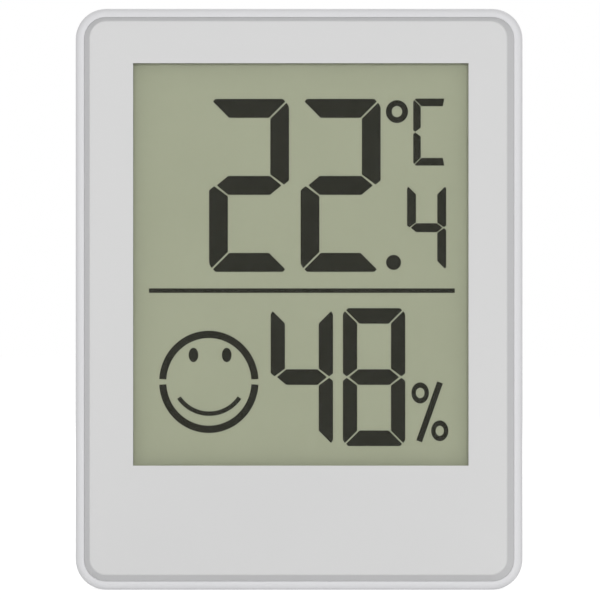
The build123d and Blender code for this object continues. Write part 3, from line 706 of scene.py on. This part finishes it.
def digit(left, bottom, width, height, flat, upright, gap, lit, free=False):
    """Bars of a seven-segment figure: a top, b and c right, d bottom, e and f left, g middle. Where two
    bars meet at a corner both are cut on the diagonal, and where three meet at the middle all are cut to a
    point, always the gap apart. flat and upright are the widths of the level and the upright bars. A free
    figure has no bars on its right, and its level bars run to its edge."""
    half_flat, half_up = flat / 2, upright / 2
    back = gap / math.sqrt(2)
    flat_tip = half_flat - CORNER_INSET * flat
    up_tip = half_up - CORNER_INSET * upright
    middle_tip = half_up - MIDDLE_INSET * upright
    level_from = left + CORNER_INSET * flat + back
    level_to = left + width - CORNER_INSET * flat - back
    foot = bottom + CORNER_INSET * upright + back
    head = bottom + height - CORNER_INSET * upright - back
    waist = bottom + height / 2
    inner = MIDDLE_INSET * upright + POINT_SETBACK * gap
    x_left, x_right = left + half_up, left + width - half_up
    z_top, z_bottom = bottom + height - half_flat, bottom + half_flat
    top_cut, bottom_cut = (flat_tip, *FLAT_SLOPES), (-flat_tip, *FLAT_SLOPES)
    top_end, bottom_end = top_cut, bottom_cut
    if free:
        level_to = left + width
        top_end = (half_flat * FREE_OFFSET, *FREE_SLOPES)
        bottom_end = (-half_flat * FREE_OFFSET, *FREE_SLOPES[::-1])
    right_corner, right_waist = (-up_tip, *CORNER_SLOPES), (-middle_tip, *WAIST_SLOPES)
    left_corner, left_waist = (up_tip, *CORNER_SLOPES[::-1]), (middle_tip, *WAIST_SLOPES[::-1])
    point = (0.0, *POINT_SLOPES)
    bars = {
        "a": (level_from, level_to, z_top, half_flat, top_cut, top_end, False),
        "b": (waist + gap / 2, head, x_right, half_up, right_waist, right_corner, True),
        "c": (foot, waist - gap / 2, x_right, half_up, right_corner, right_waist, True),
        "d": (level_from, level_to, z_bottom, half_flat, bottom_cut, bottom_end, False),
        "e": (foot, waist - gap / 2, x_left, half_up, left_corner, left_waist, True),
        "f": (waist + gap / 2, head, x_left, half_up, left_waist, left_corner, True),
        "g": (left + inner, left + width - inner, waist, half_flat, point, point, False),
    }
    return [strip(*bar(*bars[name]), *IN_CRYSTAL) for name in lit]


def comfort_face(x, z, outer, inner, gap):
    """Plain smiling face: a ring in two halves, parted by the gap in degrees, two oval eyes and a mouth."""
    return [
        ring(x, z, outer, inner, IN_CRYSTAL, gap, 180.0 - gap, 72),
        ring(x, z, outer, inner, IN_CRYSTAL, 180.0 + gap, 360.0 - gap, 72),
        spot(x - 1.72, z + 3.01, 0.54, 0.8, IN_CRYSTAL),
        spot(x + 2.0, z + 3.01, 0.54, 0.8, IN_CRYSTAL),
        ring(x + 0.04, z + 0.52, (4.33, 4.33), (3.83, 3.83), IN_CRYSTAL, 214.0, 326.0, 40),
    ]


TEMPERATURE = dict(bottom=BASE + 23.37, width=8.95, height=19.35, flat=2.12, upright=2.1, gap=0.23)
HUMIDITY = dict(bottom=BASE + 3.88, width=6.98, height=15.43, flat=1.74, upright=1.6, gap=0.21)
TENTHS = dict(bottom=BASE + 23.52, width=4.38, height=9.58, flat=1.0, upright=1.0, gap=0.13)
CELSIUS = dict(bottom=BASE + 35.26, width=3.47, height=7.5, flat=0.86, upright=0.84, gap=0.12)
FIGURES = {
    "figure_temperature_tens": digit(left=-10.07, lit="abged", **TEMPERATURE),
    "figure_temperature_units": digit(left=0.17, lit="abged", **TEMPERATURE),
    "figure_decimal_point": [spot(10.57, BASE + 24.43, 0.84, 0.84, IN_CRYSTAL)],
    "figure_temperature_tenths": digit(left=12.08, lit="fgbc", **TENTHS),
    "figure_degree_ring": [ring(10.95, BASE + 41.3, (1.24, 1.28), (0.58, 0.62), IN_CRYSTAL)],
    "figure_celsius": digit(left=12.77, lit="afed", free=True, **CELSIUS),
    "figure_divider": [line([(-16.8, BASE + 21.27), (17.42, BASE + 21.27)], 0.5, IN_CRYSTAL)],
    "figure_humidity_tens": digit(left=-3.18, lit="fgbc", **HUMIDITY),
    "figure_humidity_units": digit(left=4.9, lit="abcdefg", **HUMIDITY),
    "figure_percent": [
        line([(13.43, BASE + 4.41), (15.77, BASE + 11.0)], 0.68, IN_CRYSTAL),
        ring(13.55, BASE + 9.82, (0.98, 1.18), (0.48, 0.58), IN_CRYSTAL),
        ring(15.74, BASE + 5.59, (0.96, 1.16), (0.46, 0.56), IN_CRYSTAL),
    ],
    "figure_comfort_face": comfort_face(-10.1, BASE + 11.06, (5.56, 5.72), (4.76, 4.9), 3.2),
}
CRYSTAL = liquid_crystal()
for figure_name, bands in FIGURES.items():
    piece(figure_name, bands, CRYSTAL, "case")


# ---------------------------------------------------------------- marks on the door, cell and button

PRINT = printed_ink()
DOOR_X, DOOR_Z = middle_of("battery_door")
ON_DOOR = layer_on("battery_door", 0.03, 0.02)
ON_CELL = layer_on("cell_can", 0.02, 0.01)

# The door's marks lie on a circle. Angles go round it from the door's +X side towards +Z.
ARC_RADIUS = 9.4
ARC_WIDTH = 0.44
ARC_FROM, ARC_TO = 66.0, 118.0
HEAD_ANGLE = 67.0
HEAD_SIZE = 1.5
HEAD_LEAN = 0.15
HEAD_POINT = 0.06
RING_ANGLE, DOT_ANGLE = 46.0, 130.0
MARK_RADIUS = 0.75
MARK_HOLE = 0.42


def on_arc(angle):
    """Place on the circle of the door's marks."""
    turn = math.radians(angle)
    return np.array([DOOR_X + ARC_RADIUS * math.cos(turn), DOOR_Z + ARC_RADIUS * math.sin(turn)])


def arrow_head():
    """Pointed head of the turning arrow: two edges that run from its base to almost one point, a little
    inside the tangent."""
    base, ahead = math.radians(HEAD_ANGLE), math.radians(HEAD_ANGLE - 90)
    run = np.array([math.cos(ahead), math.sin(ahead)])
    out = np.array([math.cos(base), math.sin(base)])
    start = on_arc(HEAD_ANGLE)
    tip = start + run * HEAD_SIZE - out * HEAD_LEAN
    near = np.stack([start + out * HEAD_SIZE / 2, tip + out * HEAD_POINT / 2])
    far = np.stack([start - out * HEAD_SIZE / 2, tip - out * HEAD_POINT / 2])
    return strip(near, far, *ON_DOOR)


def mark_door():
    """An arrow bent round the door's middle, from a dot to a ring."""
    outer, inner = ARC_RADIUS + ARC_WIDTH / 2, ARC_RADIUS - ARC_WIDTH / 2
    marks = [
        ring(DOOR_X, DOOR_Z, (outer, outer), (inner, inner), ON_DOOR, ARC_FROM, ARC_TO, 28),
        arrow_head(),
        ring(*on_arc(RING_ANGLE), (MARK_RADIUS, MARK_RADIUS), (MARK_HOLE, MARK_HOLE), ON_DOOR, steps=32),
        spot(*on_arc(DOT_ANGLE), MARK_RADIUS, MARK_RADIUS, ON_DOOR, 25),
    ]
    piece("battery_door_marks", marks, PRINT, "door")


PLUS_RISE = 5.6
PLUS_HALF = 1.2
PLUS_WIDTH = 0.45


def mark_cell():
    """A plus raised on the cell's can: one level bar, and an upright one in two pieces that end at it."""
    x, z = DOOR_X, DOOR_Z + PLUS_RISE
    bars = [
        line([(x - PLUS_HALF, z), (x + PLUS_HALF, z)], PLUS_WIDTH, ON_CELL),
        line([(x, z - PLUS_HALF), (x, z - PLUS_WIDTH / 2)], PLUS_WIDTH, ON_CELL),
        line([(x, z + PLUS_WIDTH / 2), (x, z + PLUS_HALF)], PLUS_WIDTH, ON_CELL),
    ]
    piece("cell_plus_mark", bars, FINISHES["cell_can"], "case")


LETTER_SIZE = 1.75
LETTER_RISE = 0.02
LETTER_GAP = 0.01


def lettering(name, words, x, z, depth):
    """Raised lettering as a mesh: the outline of the words, turned to be read from behind."""
    curve = bpy.data.curves.new(name, "FONT")
    curve.body = words
    curve.size = LETTER_SIZE * MM
    curve.extrude = LETTER_RISE * MM
    curve.align_x = "CENTER"
    curve.align_y = "CENTER"
    text = bpy.data.objects.new(name + "_text", curve)
    bpy.context.collection.objects.link(text)
    mesh = bpy.data.meshes.new_from_object(text.evaluated_get(bpy.context.evaluated_depsgraph_get()))
    bpy.data.objects.remove(text)
    points = np.empty(len(mesh.vertices) * 3)
    mesh.vertices.foreach_get("co", points)
    points = points.reshape(-1, 3)
    placed = np.stack([x * MM - points[:, 0], depth * MM + points[:, 2], z * MM + points[:, 1]], -1)
    mesh.vertices.foreach_set("co", placed.ravel())
    mesh.name = name
    return mesh


def mark_button():
    """The two units between which the button switches."""
    depth = box_mm("unit_button")[1][1] + LETTER_GAP
    words = lettering("button_legend", "\u00b0C/\u00b0F", *middle_of("unit_button"), depth)
    finish_piece("button_legend", words, PRINT, "button")


mark_door()
mark_cell()
mark_button()


# ---------------------------------------------------------------- what is on the sensor and the board

GOLD = gold_plating()
board_low, board_high = box_mm("circuit_board")
BOARD = board_high[1]
ON_BOARD = layer_on("circuit_board", 0.03, 0.005)
ON_SENSOR = layer_on("humidity_sensor", 0.015, 0.005)
blob_low, blob_high = box_mm("chip_blob")
BLOB_X, BLOB_Z = middle_of("chip_blob")
BLOB_RADIUS = (blob_high[0] - blob_low[0]) / 2
can_low, can_high = box_mm("clock_crystal")
CAN_Z = middle_of("clock_crystal")[1]

COMB_HALF = 3.2
COMB_RISE = 1.7
COMB_RAIL = 0.35
COMB_FINGER = 0.2
COMB_END_GAP = 0.5
FINGERS = 13


def plate_comb():
    """Two combs on the sensor, each a rail with fingers that reach between the other's."""
    x, z = middle_of("humidity_sensor")
    bands = []
    for side in (-1, 1):
        rail = z + side * COMB_RISE
        bands.append(line([(x - COMB_HALF, rail), (x + COMB_HALF, rail)], COMB_RAIL, ON_SENSOR))
    for finger in range(FINGERS):
        finger_x = x - COMB_HALF + COMB_FINGER + finger * 2 * (COMB_HALF - COMB_FINGER) / (FINGERS - 1)
        side = 1 if finger % 2 else -1
        root, tip = z + side * (COMB_RISE - COMB_RAIL / 2), z - side * (COMB_RISE - COMB_END_GAP)
        bands.append(line([(finger_x, root), (finger_x, tip)], COMB_FINGER, ON_SENSOR))
    piece("humidity_comb_electrodes", bands, GOLD, "case")


LEGEND_WIDTH = 0.18
LEGEND_BREAK = 0.2
CHIP_RING = (0.55, 0.3)


def frame_round(node, room):
    """Printed frame round a part: a bent line round its box with some room, its ends a little apart."""
    low, high = box_mm(node)
    left, right = low[0] - room, high[0] + room
    foot, head = low[2] - room, high[2] + room
    middle = (left + right) / 2
    points = [(middle - LEGEND_BREAK / 2, foot), (left, foot), (left, head),
              (right, head), (right, foot), (middle + LEGEND_BREAK / 2, foot)]
    return line(points, LEGEND_WIDTH, ON_BOARD)


def print_board_legend():
    """A ring round the chip's drop, and a frame round each other kind of part."""
    outer, inner = (BLOB_RADIUS + room for room in CHIP_RING)
    bands = [
        ring(BLOB_X, BLOB_Z, (outer, outer), (inner, inner), ON_BOARD),
        frame_round("clock_crystal", 0.5),
        frame_round("capacitors", 0.55),
        frame_round("resistors", 0.55),
    ]
    piece("board_legend", bands, white_legend_ink(), "case")


CRYSTAL_LEADS = (-0.35, 0.35)
CRYSTAL_LEAD_REACH = 0.85
CRYSTAL_LEAD_RADIUS = 0.13


def bend_crystal_leads():
    """Two wires that leave the crystal's end level and bend into the board, each through points given as
    a reach from that end and a depth."""
    can_y = (can_low[1] + can_high[1]) / 2
    route = [(0.1, can_y), (-0.5, can_y), (-0.75, can_y - 0.15),
             (-CRYSTAL_LEAD_REACH, BOARD + 0.3), (-CRYSTAL_LEAD_REACH, BOARD + 0.02)]
    leads = []
    for spread in CRYSTAL_LEADS:
        path = [(can_low[0] + reach, depth, CAN_Z + spread) for reach, depth in route]
        leads.append(wire(path, CRYSTAL_LEAD_RADIUS))
    piece("clock_crystal_leads", leads, FINISHES["sensor_leads"], "case")


# Solder mounds, and the rows of surface-mounted parts with how many each holds and its mounds.
CRYSTAL_SOLDER = dict(half_x=0.32, half_z=0.28, height=0.28)
SENSOR_SOLDER = dict(half_x=0.55, half_z=0.55, height=0.4)
BEAD_SOLDER = dict(half_x=0.5, half_z=0.5, height=0.4)
PART_PITCH = 3.0
PART_ROWS = [
    ("capacitors", 4, dict(half_x=0.38, half_z=0.5, height=0.5)),
    ("resistors", 3, dict(half_x=0.38, half_z=0.32, height=0.3)),
]
SENSOR_LEAD_RADIUS = 0.25
SENSOR_LEAD_PITCH = 5.0
BEAD_LEADS = (-0.6, 0.6)


def solder_parts():
    """Solder at both ends of each surface-mounted part and round each lead."""
    mounds = []
    for spread in CRYSTAL_LEADS:
        mounds.append(mound(can_low[0] - CRYSTAL_LEAD_REACH, CAN_Z + spread, BOARD, **CRYSTAL_SOLDER))
    for node, count, shape in PART_ROWS:
        low, high = box_mm(node)
        first = middle_of(node)[1] - (count - 1) / 2 * PART_PITCH
        for row in range(count):
            for end in (low[0], high[0]):
                mounds.append(mound(end, first + row * PART_PITCH, BOARD, **shape))
    lead_low = box_mm("sensor_leads")[0]
    lead_x, lead_z = lead_low[0] + SENSOR_LEAD_RADIUS, lead_low[2] + SENSOR_LEAD_RADIUS
    for x in (lead_x, lead_x + SENSOR_LEAD_PITCH):
        mounds.append(mound(x, lead_z, BOARD, **SENSOR_SOLDER))
    bead_x = middle_of("thermistor")[0]
    sensor_z = middle_of("humidity_sensor")[1]
    for spread in BEAD_LEADS:
        mounds.append(mound(bead_x, sensor_z + spread, BOARD, **BEAD_SOLDER))
    piece("solder_joints", mounds, solder(), "case")


TRACKS = 15
TRACK_PITCH = 1.15
TRACK_WIDTH = 0.22
TRACK_FAN = 11.0
TRACK_START = 0.65
TRACK_DROP = 0.2
BEND_RISE = 1.1
BEND_STAGGER = 0.25
VIA_RISE = 1.7
VIA_RADIUS = 0.38
VIA_HOLE = 0.16
VIA_LAP = 0.04


def lay_tracks():
    """Tracks that fan out from the chip at even angles, bend, and run down to a row of plated holes."""
    via_z = board_low[2] + VIA_RISE
    start_radius = BLOB_RADIUS + TRACK_START
    tracks, vias = [], []
    for track in range(TRACKS):
        aside = track - (TRACKS - 1) / 2
        x = BLOB_X + aside * TRACK_PITCH
        turn = math.radians(270 + aside * TRACK_FAN)
        start = (BLOB_X + start_radius * math.cos(turn), BLOB_Z + start_radius * math.sin(turn))
        bend = min(start[1] - TRACK_DROP, via_z + BEND_RISE + BEND_STAGGER * abs(aside))
        end = via_z + VIA_RADIUS + VIA_LAP
        tracks.append(line([start, (x, bend), (x, end)], TRACK_WIDTH, ON_BOARD))
        vias.append(ring(x, via_z, (VIA_RADIUS, VIA_RADIUS), (VIA_HOLE, VIA_HOLE), ON_BOARD, steps=20))
    piece("board_tracks", tracks, track_under_mask(), "case")
    piece("board_vias", vias, GOLD, "case")


plate_comb()
print_board_legend()
bend_crystal_leads()
solder_parts()
lay_tracks()
